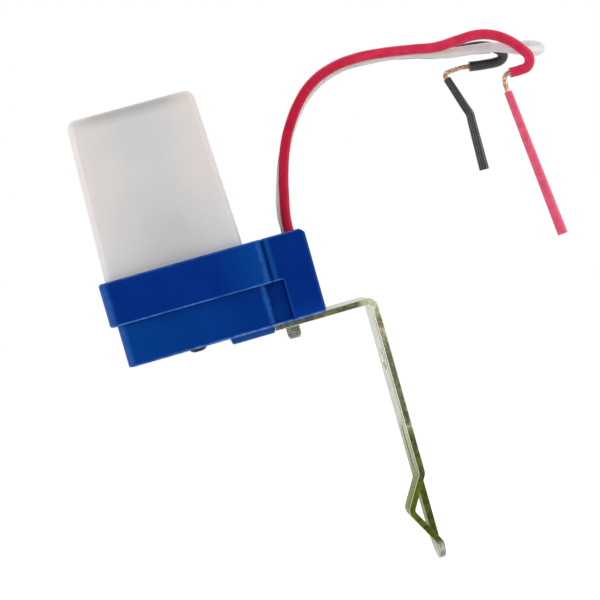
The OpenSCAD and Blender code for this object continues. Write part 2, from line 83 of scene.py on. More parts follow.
# Light
WORLD_LIGHT = 0.5
FLOOR_DROP = 45.0
FLOOR_SIZE = 12000.0
FLOOR_GREY = 0.8
FLOOR_GLOW = 0.62
LAMP_AIM = (-20, 0, 35)
LAMPS = [
    ("left", (-443, -154, 110), (100, 400), 0.8),
    ("right", (403, -154, 110), (100, 400), 0.8),
    ("front", (-60, -520, 140), (160, 160), 0.28),
    ("top", (-60, 120, 460), (240, 240), 0.3),
]

# Meshes
WELD = 0.002
TINY = 0.0005
FLAT_ANGLE = 0.4
SHARP_ANGLE = 35.0

# Dome
DOME_LOW, DOME_HIGH = ends("dome_cover")
DOME_MIDDLE = (DOME_LOW.x + DOME_HIGH.x) / 2
DOME_SEAT = 4.0
DOME_DRAFT = 2.1
DOME_R = 2.4
DOME_WALL = 1.5
DOME_LOOP = 0.4
DOME_LEAST_R = 0.02

# Base
BASE_LOW, BASE_HIGH = ends("base_housing")
FLANGE_L = 39.5
FLANGE_H = 10.6
FLANGE_R = 2.8
BODY_STEP = 1.6
BODY_R = 2.4
BLOCK_R = 0.9
POCKET_L = 4.0
POCKET_D = 5.0
PAD_L = 10.6
PAD_GAP = 0.1
EDGE_R = 0.6
PLATE_EDGE_R = 0.4
SEAM_R = 0.02
BOX_LEAST_R = 0.05
GROOVE_LAP = 0.25
FORM_LAP = 1.0
FORM_INSET = 0.01
FLANGE_END = BASE_LOW.x + FLANGE_L
FLANGE_FOOT = BASE_HIGH.z - FLANGE_H
BODY_END = FLANGE_END - BODY_STEP
BODY_SIDE = BASE_HIGH.y - BODY_STEP
POCKET_END = BODY_END + POCKET_L

# Bracket
STRIP_LOW, STRIP_HIGH = ends("mounting_bracket")
STRIP_EDGE = 0.28
BEND_END = -3.0
SLIT_W = 0.8
SLIT_TOP = -16.5
SPRING_TOP = -28.6
HOLE_SIDE = 4.0
HOLE_FOOT = -7.5
STAIN_WAVER = 4.0
TIP_MARGIN = 0.6

# Screws
SCREW_D = 3.5
SCREW_HEAD_D = 7.0
SCREW_HEAD_H = 2.6
SCREW_RIM_H = 1.17
SCREW_PITCH = 0.6
SCREW_THREAD_H = 0.18
SCREW_POINT = 0.8
SCREW_SIDES = 28
COVER_SCREW_D = 2.6
COVER_HEAD_D = 4.8
COVER_HEAD_H = 2.0
COVER_RIM_H = 0.45
COVER_FLAT = 0.35
COVER_NECK_H = 0.05
COVER_PITCH = 0.9
COVER_THREAD_H = 0.3
COVER_POINT = 0.01
COVER_SIDES = 32
CROSS_L = 2.6
CROSS_W = 0.62
CROSS_DEPTH = 0.9
CROSS_LAP = 1.0
HEAD_STEPS = 8
THREAD_STEPS = 12
THREAD_CREST = 1.35

# Leads
LEAD_D = 2.5
LEAD_INSET = 2.8
LEAD_PITCH = 4.0
# Span along X over which a lead's painted light rises to its far colours.
LEAD_LIT_SPAN = (-6.0, 14.0)
STRAND_D = 1.2
STRAND_PITCH = 6.0
STRAND_COUNT = 6
STRAND_SIDES = 8
SLEEVE_D = 1.9
SLEEVE_BORE_D = 1.4
SLEEVE_KINK = 2.5
SLEEVE_SIDES = 20


def mm(place):
    """A place in millimetres as a vector in metres."""
    return Vector(place) * MM


def srgb(red, green, blue):
    """A colour of 0 to 255 per channel as linear values with alpha."""
    linear = []
    for value in (red, green, blue):
        share = value / 255
        linear.append(share / 12.92 if share <= 0.04045 else ((share + 0.055) / 1.055) ** 2.4)
    return (*linear, 1.0)


def grey(value):
    return (value, value, value, 1.0)


# Materials


class Material:
    """A node material with a Principled shader, and short ways to feed it."""

    def __init__(self, name, roughness, metallic=0.0, specular=0.5):
        self.material = bpy.data.materials.new(name)
        self.material.use_nodes = True
        self.nodes = self.material.node_tree.nodes
        self.links = self.material.node_tree.links
        self.shader = self.nodes["Principled BSDF"]
        self.set("Roughness", roughness)
        self.set("Metallic", metallic)
        self.set("Specular IOR Level", specular)
        coordinates = self.nodes.new("ShaderNodeTexCoord")
        self.place = coordinates.outputs["Object"]
        self.facing = coordinates.outputs["Normal"]

    def set(self, socket, value):
        self.shader.inputs[socket].default_value = value

    def feed(self, output, socket):
        self.links.new(output, self.shader.inputs[socket])

    def join(self, value, socket):
        """Puts an output, a number or a colour on a node's socket."""
        if isinstance(value, bpy.types.NodeSocket):
            self.links.new(value, socket)
        else:
            socket.default_value = value

    def noise(self, size, detail=4.0, distortion=0.0):
        """Noise with patches of about size millimetres."""
        texture = self.nodes.new("ShaderNodeTexNoise")
        texture.inputs["Scale"].default_value = 1 / (size * MM)
        texture.inputs["Detail"].default_value = detail
        texture.inputs["Distortion"].default_value = distortion
        self.links.new(self.place, texture.inputs["Vector"])
        return texture.outputs["Fac"]

    def ramp(self, output, stops):
        """Colours spread over the range of an output; stops are pairs of place and colour."""
        node = self.nodes.new("ShaderNodeValToRGB")
        elements = node.color_ramp.elements
        while len(elements) < len(stops):
            elements.new(0.5)
        for element, (place, colour) in zip(elements, stops):
            element.position = place
            element.color = colour
        self.links.new(output, node.inputs["Fac"])
        return node.outputs["Color"]

    def tones(self, output, dark, light, low=0.3, high=0.7):
        """One colour below the middle range of an output and another above it."""
        return self.ramp(output, [(low, dark), (high, light)])

    def shade(self, share, darkest):
        """White where a share is 0, down to a grey where it is 1."""
        return self.tones(share, grey(1.0), grey(darkest), 0.0, 1.0)

    def spread(self, output, low, high, from_low=0.3, from_high=0.7):
        """An output's middle range mapped on to another."""
        node = self.nodes.new("ShaderNodeMapRange")
        node.inputs["From Min"].default_value = from_low
        node.inputs["From Max"].default_value = from_high
        node.inputs["To Min"].default_value = low
        node.inputs["To Max"].default_value = high
        self.links.new(output, node.inputs["Value"])
        return node.outputs["Result"]

    def math(self, operation, first, second):
        node = self.nodes.new("ShaderNodeMath")
        node.operation = operation
        self.join(first, node.inputs[0])
        self.join(second, node.inputs[1])
        return node.outputs[0]

    def times(self, first, *others):
        """The product of several outputs."""
        for other in others:
            first = self.math("MULTIPLY", first, other)
        return first

    def rest(self, share):
        """What a share leaves of 1."""
        return self.math("SUBTRACT", 1.0, share)

    def mix(self, share, first, second, blend="MIX"):
        """Two colours mixed by a share from 0 to 1."""
        node = self.nodes.new("ShaderNodeMix")
        node.data_type = "RGBA"
        node.blend_type = blend
        sockets = {socket.identifier: socket for socket in node.inputs}
        self.join(share, sockets["Factor_Float"])
        self.join(first, sockets["A_Color"])
        self.join(second, sockets["B_Color"])
        return {socket.identifier: socket for socket in node.outputs}["Result_Color"]

    def tinted(self, colour, tint):
        """A colour multiplied by another."""
        return self.mix(1.0, colour, tint, "MULTIPLY")

    def mottle(self, colour, output, dark, light):
        """A colour made darker and lighter by the middle range of an output."""
        return self.tinted(colour, self.tones(output, grey(dark), grey(light)))

    def split(self, output):
        node = self.nodes.new("ShaderNodeSeparateXYZ")
        self.links.new(output, node.inputs["Vector"])
        return [node.outputs[axis] for axis in "XYZ"]

    def along(self, axis, start, end):
        """0 at one place on an axis and 1 at another, in millimetres."""
        return self.spread(self.split(self.place)["XYZ".index(axis)], 0.0, 1.0, start * MM, end * MM)

    def band(self, axis, start, full, last, end):
        """1 from full to last on an axis, and down to 0 at start and at end, in millimetres."""
        return self.times(self.along(axis, start, full), self.along(axis, end, last))

    def near_middle(self, full, end):
        """1 up to a distance from the plane y = 0 and down to 0 at another, in millimetres."""
        distance = self.math("ABSOLUTE", self.split(self.place)[1], 0.0)
        return self.spread(distance, 1.0, 0.0, full * MM, end * MM)

    def squares(self):
        """The squares of the surface's direction along each axis, which add up to 1."""
        return [self.times(part, part) for part in self.split(self.facing)]

    def between(self, first, second, start, full):
        """0 where a surface faces one way or the other and 1 on the round edge between the two."""
        return self.spread(self.times(first, second, 4.0), 0.0, 1.0, start, full)

    def crevice_shade(self, reach, dark):
        """A painted shade: a grey that is dark in tight corners of the piece and white elsewhere."""
        node = self.nodes.new("ShaderNodeAmbientOcclusion")
        node.samples = 8
        node.only_local = True
        node.inputs["Distance"].default_value = reach * MM
        return self.tones(node.outputs["AO"], grey(dark), grey(1.0), 0.35, 0.8)

    def bump(self, output, depth):
        """Relief of depth millimetres from an output; a second call lies on top of the first."""
        node = self.nodes.new("ShaderNodeBump")
        node.inputs["Strength"].default_value = 1.0
        node.inputs["Distance"].default_value = depth * MM
        self.links.new(output, node.inputs["Height"])
        below = self.shader.inputs["Normal"].links
        if below:
            self.links.new(below[0].from_socket, node.inputs["Normal"])
        self.feed(node.outputs["Normal"], "Normal")


def blue_faces(made, square_x, on_flange):
    """Deep blue with painted light: paler low on the free end, in the pockets, beside the wire block, past
    the groove, at the block's foot and on the pad.
    """
    clouds = made.noise(9.0, 3.0)
    deep = made.tones(clouds, srgb(0, 27, 115), srgb(1, 36, 124))
    # Painted light: the body is paler low towards its free end.
    lit_low_end = made.tones(clouds, srgb(1, 50, 126), srgb(3, 58, 135))
    # pale is painted light for the side pockets, paler still towards their open bottom, against the shade
    # inside them.
    pale = made.tones(clouds, srgb(3, 52, 160), srgb(8, 62, 172))
    pale = made.mix(made.along("Z", BASE_LOW.z + 4.3, BASE_LOW.z + 0.3), pale, srgb(14, 88, 196))
    from_wall = made.along("X", BASE_HIGH.x - 5.0, BASE_LOW.x + 1.0)
    below_flange = made.along("Z", FLANGE_FOOT + 0.9, FLANGE_FOOT - 1.1)
    body = made.mix(made.times(from_wall, below_flange), deep, lit_low_end)

    # Painted light on the pocket walls.
    in_pocket = made.times(
        made.near_middle(BODY_SIDE - 0.5, BODY_SIDE - 0.2),
        made.along("Z", FLANGE_FOOT + 0.2, FLANGE_FOOT - 0.2),
        made.band("X", BODY_END - 1.5, BODY_END - 0.3, POCKET_END + 0.3, POCKET_END + 1.5),
        made.spread(square_x, 1.0, 0.0, 0.1, 0.6),
    )
    body = made.mix(in_pocket, body, pale)

    # Painted light: the flange paler towards the wire block.
    lit_by_block = made.band("X", FLANGE_END - 12.5, FLANGE_END - 1.1, FLANGE_END - 0.1, FLANGE_END + 0.1)
    body = made.mix(made.times(lit_by_block, on_flange), body, srgb(3, 60, 140))
    # Painted highlight on the wire block's round corner just past the groove.
    past_groove_highlight = made.band("X", FLANGE_END - 0.1, FLANGE_END + 0.1, FLANGE_END + 1.0, FLANGE_END + 1.9)
    body = made.mix(made.times(past_groove_highlight, on_flange), body, srgb(16, 72, 152))
    # Painted light: the wire block paler low down by the pocket.
    on_block = made.along("X", POCKET_END - 1.9, POCKET_END + 1.1)
    block_foot = made.times(made.along("Z", BASE_LOW.z + 3.8, BASE_LOW.z), on_block)
    body = made.mix(block_foot, body, srgb(4, 48, 136))
    # Painted light: the pad paler, though it sits in shade under the plate.
    pad = made.tones(clouds, srgb(34, 82, 158), srgb(48, 96, 172))
    return made.mix(made.along("Z", STRIP_HIGH.z, STRIP_HIGH.z - 0.1), body, pad)


def blue_edges(made, body, squares, on_flange):
    """A body's colour with painted highlights on its round corners and edges, painted shade in the groove
    beside the wire block and a painted highlight on the lip below.
    """
    square_x, square_y, square_z = squares
    # Painted highlights on the round upright corners, broken up by noise.
    highlight_breakup = made.noise(1.6, 4.0)
    corner_highlights = made.tones(highlight_breakup, srgb(9, 58, 136), srgb(27, 80, 158))
    off_block = made.spread(made.along("X", FLANGE_END + 1.0, FLANGE_END + 1.7), 1.0, 0.25, 0.0, 1.0)
    upright = made.times(made.between(square_x, square_y, 0.0, 0.6), off_block)
    body = made.mix(upright, body, corner_highlights)

    # Painted shade: a darker band in the groove between the flange's corner and the wire block.
    groove = made.band("X", FLANGE_END - 1.0, FLANGE_END - 0.5, FLANGE_END + 0.3, FLANGE_END + 0.8)
    body = made.mix(made.times(groove, on_flange), body, srgb(4, 54, 134))

    # Painted highlights on the round level edges, stronger low down.
    rim_highlights = made.tones(highlight_breakup, srgb(32, 84, 168), srgb(84, 134, 206))
    low_down = made.spread(made.along("Z", FLANGE_FOOT + 0.9, FLANGE_FOOT + 7.9), 1.0, 0.4, 0.0, 1.0)
    level = made.between(square_z, made.rest(square_z), 0.1, 0.7)
    body = made.mix(made.times(level, low_down), body, rim_highlights)

    # Painted highlight on the lower lip of the plate, on its front and back.
    lip_highlights = made.tones(highlight_breakup, srgb(56, 100, 190), srgb(128, 160, 220))
    plate = STRIP_HIGH.z
    lip = made.band("Z", plate - 0.1, plate, plate + 0.3, plate + 0.6)
    to_block = made.along("X", BASE_LOW.x - 3.0, FLANGE_END - 12.5)
    return made.mix(made.times(lip, to_block, square_y), body, lip_highlights)


def blue_plastic():
    """Blue moulding with painted light in paler places, painted highlights on its edges, painted shade in
    its tight corners and a fine grain.
    """
    made = Material("blue_plastic", 0.4, specular=0.33)
    made.set("Specular Tint", (0.06, 0.42, 1.0, 1.0))
    squares = made.squares()
    on_flange = made.along("Z", FLANGE_FOOT - 0.3, FLANGE_FOOT + 0.3)
    body = blue_edges(made, blue_faces(made, squares[0], on_flange), squares, on_flange)
    # Painted shade darkens the tight corners of the moulding.
    made.feed(made.tinted(body, made.crevice_shade(0.6, 0.72)), "Base Color")
    made.feed(made.spread(made.noise(3.0, 5.0), 0.34, 0.48), "Roughness")
    made.bump(made.noise(6.0, 2.0), 0.03)
    made.bump(made.noise(0.25, 2.0), 0.004)
    return made.material


def milky_plastic():
    """Cloudy white moulding, warm at the sides, with painted shade: greyer at its foot, along its top rim
    and in its middle, where the shadow of the parts inside is painted.
    """
    made = Material("milky_plastic", 0.38, specular=0.35)
    clouds = made.noise(12.0, 2.0)
    sides = made.tones(clouds, srgb(230, 223, 221), srgb(232, 222, 216), 0.35, 0.65)
    # shaded_middle is the painted shadow of the parts inside, seen through the cover.
    shaded_middle = made.tones(clouds, srgb(213, 213, 213), srgb(219, 218, 217), 0.35, 0.65)
    # Painted shade: the foot greyer and more neutral, most in the middle.
    foot = made.along("Z", BASE_HIGH.z + 23.3, BASE_HIGH.z + 3.3)
    sides = made.mix(foot, sides, srgb(219, 219, 219))
    left, right = DOME_MIDDLE - 15.0, DOME_MIDDLE + 15.0
    over_parts = made.band("X", left, left + 11.0, right - 11.0, right)
    tone = made.tinted(made.mix(over_parts, sides, shaded_middle), made.shade(made.times(foot, over_parts), 0.86))
    # Painted shade along the top rim of the front and back walls.
    top_rim_shade = made.times(
        made.band("X", left, left + 7.0, right - 7.0, right - 1.0),
        made.spread(made.squares()[1], 0.0, 1.0, 0.03, 0.3),
        made.along("Z", DOME_HIGH.z - 3.6, DOME_HIGH.z - 0.2),
    )
    made.feed(made.tinted(tone, made.shade(top_rim_shade, 0.62)), "Base Color")
    made.set("Subsurface Weight", 0.5)
    made.set("Subsurface Radius", (1.0, 0.9, 0.8))
    made.set("Subsurface Scale", 1.5 * MM)
    made.feed(made.spread(made.noise(2.0, 5.0), 0.33, 0.43), "Roughness")
    made.bump(made.noise(0.3, 2.0), 0.004)
    return made.material


def down_leg(made, colours, waver=0.0):
    """Colours down the bracket's leg, given as pairs of a height and a colour, with borders that waver."""
    top = STRIP_HIGH.z
    tip = STRIP_LOW.z - TIP_MARGIN
    stops = [((top - height) / (top - tip), srgb(*colour)) for height, colour in colours]
    share = made.along("Z", top, tip)
    if waver:
        shift = waver / (top - tip)
        share = made.math("ADD", share, made.spread(made.noise(5.0, 5.0, 0.5), -shift, shift))
    return made.ramp(share, stops)


def strip_edges(made):
    """Sheared edges of the strip, mottled dark."""
    leg_edges = down_leg(made, [
        (14, (208, 213, 176)), (11.4, (146, 144, 116)), (9.2, (122, 116, 92)), (7.4, (194, 172, 154)),
        (5.6, (154, 152, 130)), (2, (112, 116, 88)),
        (-15, (108, 112, 84)), (-16.5, (160, 166, 126)), (-19, (86, 92, 56)), (-28, (92, 100, 56)),
        (-32, (92, 104, 34)), (-45.5, (88, 98, 34)), (-48, (208, 208, 198)),
    ])
    level_run = made.times(
        made.along("X", BEND_END, BEND_END - 1.5),
        made.along("Z", STRIP_HIGH.z - 10.0, STRIP_HIGH.z - 8.0),
    )
    edges = made.mix(level_run, leg_edges, srgb(106, 110, 84))
    edges = made.mottle(edges, made.noise(1.4, 5.0, 0.6), 0.4, 1.25)
    return made.mottle(edges, made.noise(0.5, 3.0), 0.7, 1.2)


def strip_faces(made, edges):
    """Plated faces of the strip, spotted towards the tip and stained like its edges on one side."""
    faces = down_leg(made, [
        (16, (192, 195, 171)), (13, (208, 210, 198)), (-14, (188, 190, 176)), (-18, (158, 164, 130)),
        (-28, (142, 150, 98)), (-31, (124, 136, 60)), (-44, (120, 132, 58)), (-48, (210, 209, 198)),
    ], STAIN_WAVER)
    faces = made.mottle(faces, made.noise(2.4, 5.0), 0.84, 1.1)
    spots = made.mottle(faces, made.noise(1.1, 5.0, 0.8), 0.28, 1.15)
    faces = made.mix(made.along("Z", SPRING_TOP + 6.6, SPRING_TOP - 5.4), faces, spots)
    stained_side = made.along("Y", STRIP_LOW.y + 2.5, STRIP_LOW.y + 0.2)
    below_bend = made.along("Z", STRIP_HIGH.z - 3.0, STRIP_HIGH.z - 7.0)
    return made.mix(made.times(stained_side, below_bend), faces, edges)


def zinc_strip():
    """Plated strip: pale faces, darker sheared edges with a painted highlight along the crease, painted
    shade beside the slit, olive stain towards the tip.
    """
    made = Material("zinc_strip", 0.36, metallic=1.0, specular=0.1)
    edges = strip_edges(made)
    faces = strip_faces(made, edges)
    # crease_highlights are painted highlights along the round crease between the inner face and the edge.
    crease_highlights = down_leg(made, [
        (16, (196, 198, 178)), (-10, (206, 209, 184)), (-20, (196, 203, 146)), (-45, (190, 200, 120)),
        (-48, (216, 216, 206)),
    ])
    # Painted shade beside the slit, on its faces and edges.
    by_slit = made.times(
        made.near_middle(0.5, 1.8),
        made.band("Z", SPRING_TOP - 0.4, SPRING_TOP + 1.6, SLIT_TOP - 2.0, SLIT_TOP - 0.3),
    )
    faces = made.mix(by_slit, faces, srgb(78, 82, 52))
    edges = made.mix(by_slit, edges, srgb(44, 46, 32))

    sideways = made.squares()[1]
    in_hole = made.times(
        made.near_middle(HOLE_SIDE - 0.5, HOLE_SIDE + 0.5),
        made.along("Z", HOLE_FOOT - 0.5, HOLE_FOOT + 0.5),
    )
    on_edge = made.times(made.spread(sideways, 0.0, 1.0, 0.5, 0.9), made.rest(in_hole))
    facing_x, _, facing_z = made.split(made.facing)
    inner_side = made.spread(made.math("SUBTRACT", facing_z, facing_x), 0.0, 1.0, 0.0, 0.35)
    crease = made.times(made.between(sideways, made.rest(sideways), 0.25, 0.8), inner_side)
    made.feed(made.mix(crease, made.mix(on_edge, faces, edges), crease_highlights), "Base Color")
    dull = made.along("Z", SPRING_TOP + 10.6, SPRING_TOP - 1.4)
    made.feed(made.spread(dull, 1.0, 0.2, 0.0, 1.0), "Metallic")
    made.feed(made.spread(made.noise(0.6, 5.0), 0.28, 0.48), "Roughness")
    made.bump(made.noise(0.5, 4.0), 0.02)
    return made.material


def plated_steel(name, dark, light, roughness):
    """Bright or dark metal with fine spots."""
    made = Material(name, roughness, metallic=1.0)
    made.feed(made.tones(made.noise(0.8, 5.0), dark, light), "Base Color")
    made.feed(made.spread(made.noise(0.3, 4.0), roughness - 0.08, roughness + 0.1), "Roughness")
    made.bump(made.noise(0.2, 3.0), 0.006)
    return made.material


def vinyl(name, deep, pale, tint, far=None, roughness=0.36, specular=0.4):
    """Extruded insulation with faint clouds; far gives the two paler colours of its far end, a painted
    light.
    """
    made = Material(name, roughness, specular=specular)
    made.set("Specular Tint", tint)
    clouds = made.noise(2.2, 4.0)
    colour = made.tones(clouds, deep, pale)
    if far:
        colour = made.mix(made.along("X", *LEAD_LIT_SPAN), colour, made.tones(clouds, *far))
    made.feed(colour, "Base Color")
    made.set("Subsurface Weight", 0.08)
    made.set("Subsurface Radius", (1.0, 0.5, 0.4))
    made.set("Subsurface Scale", 0.5 * MM)
    made.feed(made.spread(made.noise(0.8, 4.0), roughness - 0.06, roughness + 0.08), "Roughness")
    made.bump(made.noise(1.2, 3.0), 0.02)
    made.bump(made.noise(0.15, 2.0), 0.003)
    return made.material


def copper():
    """Bare copper with patches of tarnish."""
    made = Material("copper", 0.32, metallic=1.0)
    made.feed(made.tones(made.noise(0.9, 4.0), srgb(122, 98, 78), srgb(222, 188, 162)), "Base Color")
    made.feed(made.spread(made.noise(0.4, 4.0), 0.24, 0.44), "Roughness")
    return made.material


def moulded(name, deep, pale, roughness):
    """A plain finish for the small parts on the circuit board."""
    made = Material(name, roughness)
    made.feed(made.tones(made.noise(1.5, 4.0), deep, pale), "Base Color")
    made.feed(made.spread(made.noise(0.6, 3.0), roughness - 0.05, roughness + 0.08), "Roughness")
    made.bump(made.noise(0.3, 2.0), 0.01)
    return made.material


# Meshes


def link(name, data):
    piece = bpy.data.objects.new(name, data)
    bpy.context.scene.collection.objects.link(piece)
    return piece


def place_piece(piece, material, node):
    """Gives a piece its material, attaches it to the root body and hides the node's own solid."""
    piece.data.materials.append(material)
    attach(piece, ROOT)
    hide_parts(node)
    return piece


def welded(node):
    """A bmesh of a node's solid with its split points joined again."""
    work = bmesh.new()
    work.from_mesh(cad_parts[node].data)
    bmesh.ops.remove_doubles(work, verts=work.verts, dist=WELD * MM)
    return work


def plain_object(work, name):
    """An object from a bmesh, which is then freed."""
    mesh = bpy.data.meshes.new(name)
    work.to_mesh(mesh)
    work.free()
    return link(name, mesh)


def is_sharp(edge):
    return edge.is_manifold and edge.calc_face_angle() > math.radians(SHARP_ANGLE)


def piece_from(work, name):
    """An object from a bmesh, shaded smooth with its large faces kept flat and its tight corners sharp."""
    bmesh.ops.dissolve_degenerate(work, dist=TINY * MM, edges=work.edges)
    bmesh.ops.dissolve_verts(work, verts=[vert for vert in work.verts if len(vert.link_edges) == 2])
    bmesh.ops.recalc_face_normals(work, faces=work.faces)
    for face in work.faces:
        face.smooth = True
    for edge in work.edges:
        edge.smooth = not is_sharp(edge)
    piece = plain_object(work, name)
    even = piece.modifiers.new("even_normals", "WEIGHTED_NORMAL")
    even.keep_sharp = True
    return piece


def combine(piece, other, operation):
    """Joins, cuts or trims one object by another, which is then removed."""
    step = piece.modifiers.new("combine", "BOOLEAN")
    step.object = other
    step.operation = operation
    step.solver = "EXACT"
    step.use_self = True
    bpy.context.view_layer.update()
    shaped = bpy.data.meshes.new_from_object(piece.evaluated_get(bpy.context.evaluated_depsgraph_get()))
    piece.modifiers.clear()
    piece.data = shaped
    bpy.data.objects.remove(other)


def trimmed_copy(node, name, forms):
    """A copy of a node's solid, kept only inside forms with round edges, joined into one first."""
    form = plain_object(forms[0], f"{name}_form")
    for other in forms[1:]:
        combine(form, plain_object(other, f"{name}_part"), "UNION")
    solid = plain_object(welded(node), f"{name}_solid")
    combine(solid, form, "INTERSECT")
    work = bmesh.new()
    work.from_mesh(solid.data)
    bpy.data.objects.remove(solid)
    return piece_from(work, name)


def bevelled_copy(node, name, width, left_sharp):
    """A copy of a node's solid with its sharp edges rounded, but for those at a place left sharp."""
    work = welded(node)
    bmesh.ops.dissolve_limit(work, angle_limit=math.radians(FLAT_ANGLE), verts=work.verts, edges=work.edges)
    edges = []
    for edge in work.edges:
        if is_sharp(edge) and not any(left_sharp(vert.co / MM) for vert in edge.verts):
            edges.append(edge)
    bmesh.ops.bevel(work, geom=edges, offset=width * MM, segments=3, profile=0.5,
                    affect="EDGES", clamp_overlap=False, loop_slide=False)
    return piece_from(work, name)


def bridge(work, first, second):
    """Quads between two rings of vertices."""
    count = len(first)
    for i in range(count):
        j = (i + 1) % count
        work.faces.new((first[i], first[j], second[j], second[i]))


def loft(work, rings):
    """Quads between rings of the same number of places, in millimetres; returns the rings' vertices."""
    made = [[work.verts.new(mm(place)) for place in ring] for ring in rings]
    for low, high in zip(made, made[1:]):
        bridge(work, low, high)
    return made


def closed_loft(rings):
    """A bmesh of a closed form through rings, from its lowest ring to its highest."""
    work = bmesh.new()
    made = loft(work, rings)
    work.faces.new(reversed(made[0]))
    work.faces.new(made[-1])
    return work


def circle(radius, z, sides):
    """Places round a circle about the Z axis."""
    turns = [2 * math.pi * side / sides for side in range(sides)]
    return [(radius * math.cos(angle), radius * math.sin(angle), z) for angle in turns]


def rounded_rectangle(centre, half_l, half_w, radius, z, steps=10):
    """Places round a rectangle with round corners, lying at a height."""
    points = []
    for corner, (sx, sy) in enumerate(((1, 1), (-1, 1), (-1, -1), (1, -1))):
        middle_x = centre[0] + sx * (half_l - radius)
        middle_y = centre[1] + sy * (half_w - radius)
        for step in range(steps + 1):
            angle = math.radians(90 * (corner + step / steps))
            points.append((middle_x + radius * math.cos(angle), middle_y + radius * math.sin(angle), z))
    return points


def rounded_box(low, high, upright, rim_low, rim_high, steps=5):
    """A closed box with round upright corners and round rims, given by two corners."""
    centre = ((low[0] + high[0]) / 2, (low[1] + high[1]) / 2)
    half_l = (high[0] - low[0]) / 2
    half_w = (high[1] - low[1]) / 2
    angles = [math.radians(90 * step / steps) for step in range(steps + 1)]
    levels = [(rim_low * (1 - math.sin(a)), low[2] + rim_low * (1 - math.cos(a))) for a in angles]
    angles.reverse()
    levels += [(rim_high * (1 - math.sin(a)), high[2] - rim_high * (1 - math.cos(a))) for a in angles]
    rings = []
    for inset, z in levels:
        corner = max(upright - inset, BOX_LEAST_R)
        rings.append(rounded_rectangle(centre, half_l - inset, half_w - inset, corner, z))
    return closed_loft(rings)


def smooth_path(points, steps):
    """Points along a smooth curve through the given ones."""
    given = [Vector(p) for p in points]
    path = []
    for i in range(len(given) - 1):
        before = given[max(i - 1, 0)]
        start, end = given[i], given[i + 1]
        after = given[min(i + 2, len(given) - 1)]
        for step in range(steps):
            t = step / steps
            path.append(0.5 * (2 * start + (end - before) * t
                               + (2 * before - 5 * start + 4 * end - after) * t ** 2
                               + (3 * start - before - 3 * end + after) * t ** 3))
    path.append(given[-1])
    return path


def kinked_path(points, reach):
    """A path that runs straight between its points and turns within reach of each inner one."""
    given = [Vector(p) for p in points]
    path = given[:1]
    for before, corner, after in zip(given, given[1:], given[2:]):
        path += [corner + reach * (before - corner).normalized(), corner]
        path.append(corner + reach * (after - corner).normalized())
    return smooth_path(path + given[-1:], 16)


def frames_along(path):
    """The two directions across a path, carried along it without twisting."""
    last = len(path) - 1
    across = Vector((0, 1, 0))
    found = []
    for i in range(len(path)):
        along = (path[min(i + 1, last)] - path[max(i - 1, 0)]).normalized()
        across = (across - across.dot(along) * along).normalized()
        found.append((across, along.cross(across)))
    return found


def along_path(path):
    """How far along a path each of its points is."""
    far = [0.0]
    for a, b in zip(path, path[1:]):
        far.append(far[-1] + (b - a).length)
    return far


def tube(work, path, radii, sides, capped=True):
    """A round tube along a path; returns its rings of vertices."""
    turns = [2 * math.pi * k / sides for k in range(sides)]
    rings = []
    for place, radius, (across, third) in zip(path, radii, frames_along(path)):
        rings.append([place + radius * (math.cos(a) * across + math.sin(a) * third) for a in turns])
    made = loft(work, rings)
    if capped:
        work.faces.new(made[0])
        work.faces.new(made[-1])
    return made


# Camera, floor and light


def make_camera():
    data = bpy.data.cameras.new("camera")
    data.lens = CAMERA_LENS
    data.sensor_width = CAMERA_SENSOR
    data.clip_start = CAMERA_NEAR * MM
    camera = link("camera", data)
    yaw = Matrix.Rotation(math.radians(-CAMERA_YAW), 4, "Z")
    pitch = Matrix.Rotation(math.radians(90 - CAMERA_PITCH), 4, "X")
    roll = Matrix.Rotation(math.radians(-CAMERA_ROLL), 4, "Z")
    camera.matrix_world = Matrix.Translation(mm(CAMERA_PLACE)) @ yaw @ pitch @ roll
    bpy.context.scene.camera = camera


def seen_directly(tree):
    """1 for rays that show the background: from the camera, off glossy surfaces and through clear ones."""
    path = tree.nodes.new("ShaderNodeLightPath")
    seen = path.outputs["Is Camera Ray"]
    for kind in ("Is Glossy Ray", "Is Transmission Ray"):
        larger = tree.nodes.new("ShaderNodeMath")
        larger.operation = "MAXIMUM"
        tree.links.new(seen, larger.inputs[0])
        tree.links.new(path.outputs[kind], larger.inputs[1])
        seen = larger.outputs[0]
    return seen


def mixed(tree, share, first, second):
    """A mix of two shaders' outputs."""
    node = tree.nodes.new("ShaderNodeMixShader")
    tree.links.new(share, node.inputs["Fac"])
    tree.links.new(first, node.inputs[1])
    tree.links.new(second, node.inputs[2])
    return node.outputs[0]


def make_world():
    """Soft light from all around, with a white background where it is seen."""
    world = bpy.data.worlds.new("studio")
    world.use_nodes = True
    bpy.context.scene.world = world
    tree = world.node_tree
    light = tree.nodes["Background"]
    light.inputs["Strength"].default_value = WORLD_LIGHT
    light.inputs["Color"].default_value = grey(1.0)
    white = tree.nodes.new("ShaderNodeBackground")
    white.inputs["Color"].default_value = grey(1.0)
    both = mixed(tree, seen_directly(tree), light.outputs[0], white.outputs[0])
    tree.links.new(both, tree.nodes["World Output"].inputs["Surface"])


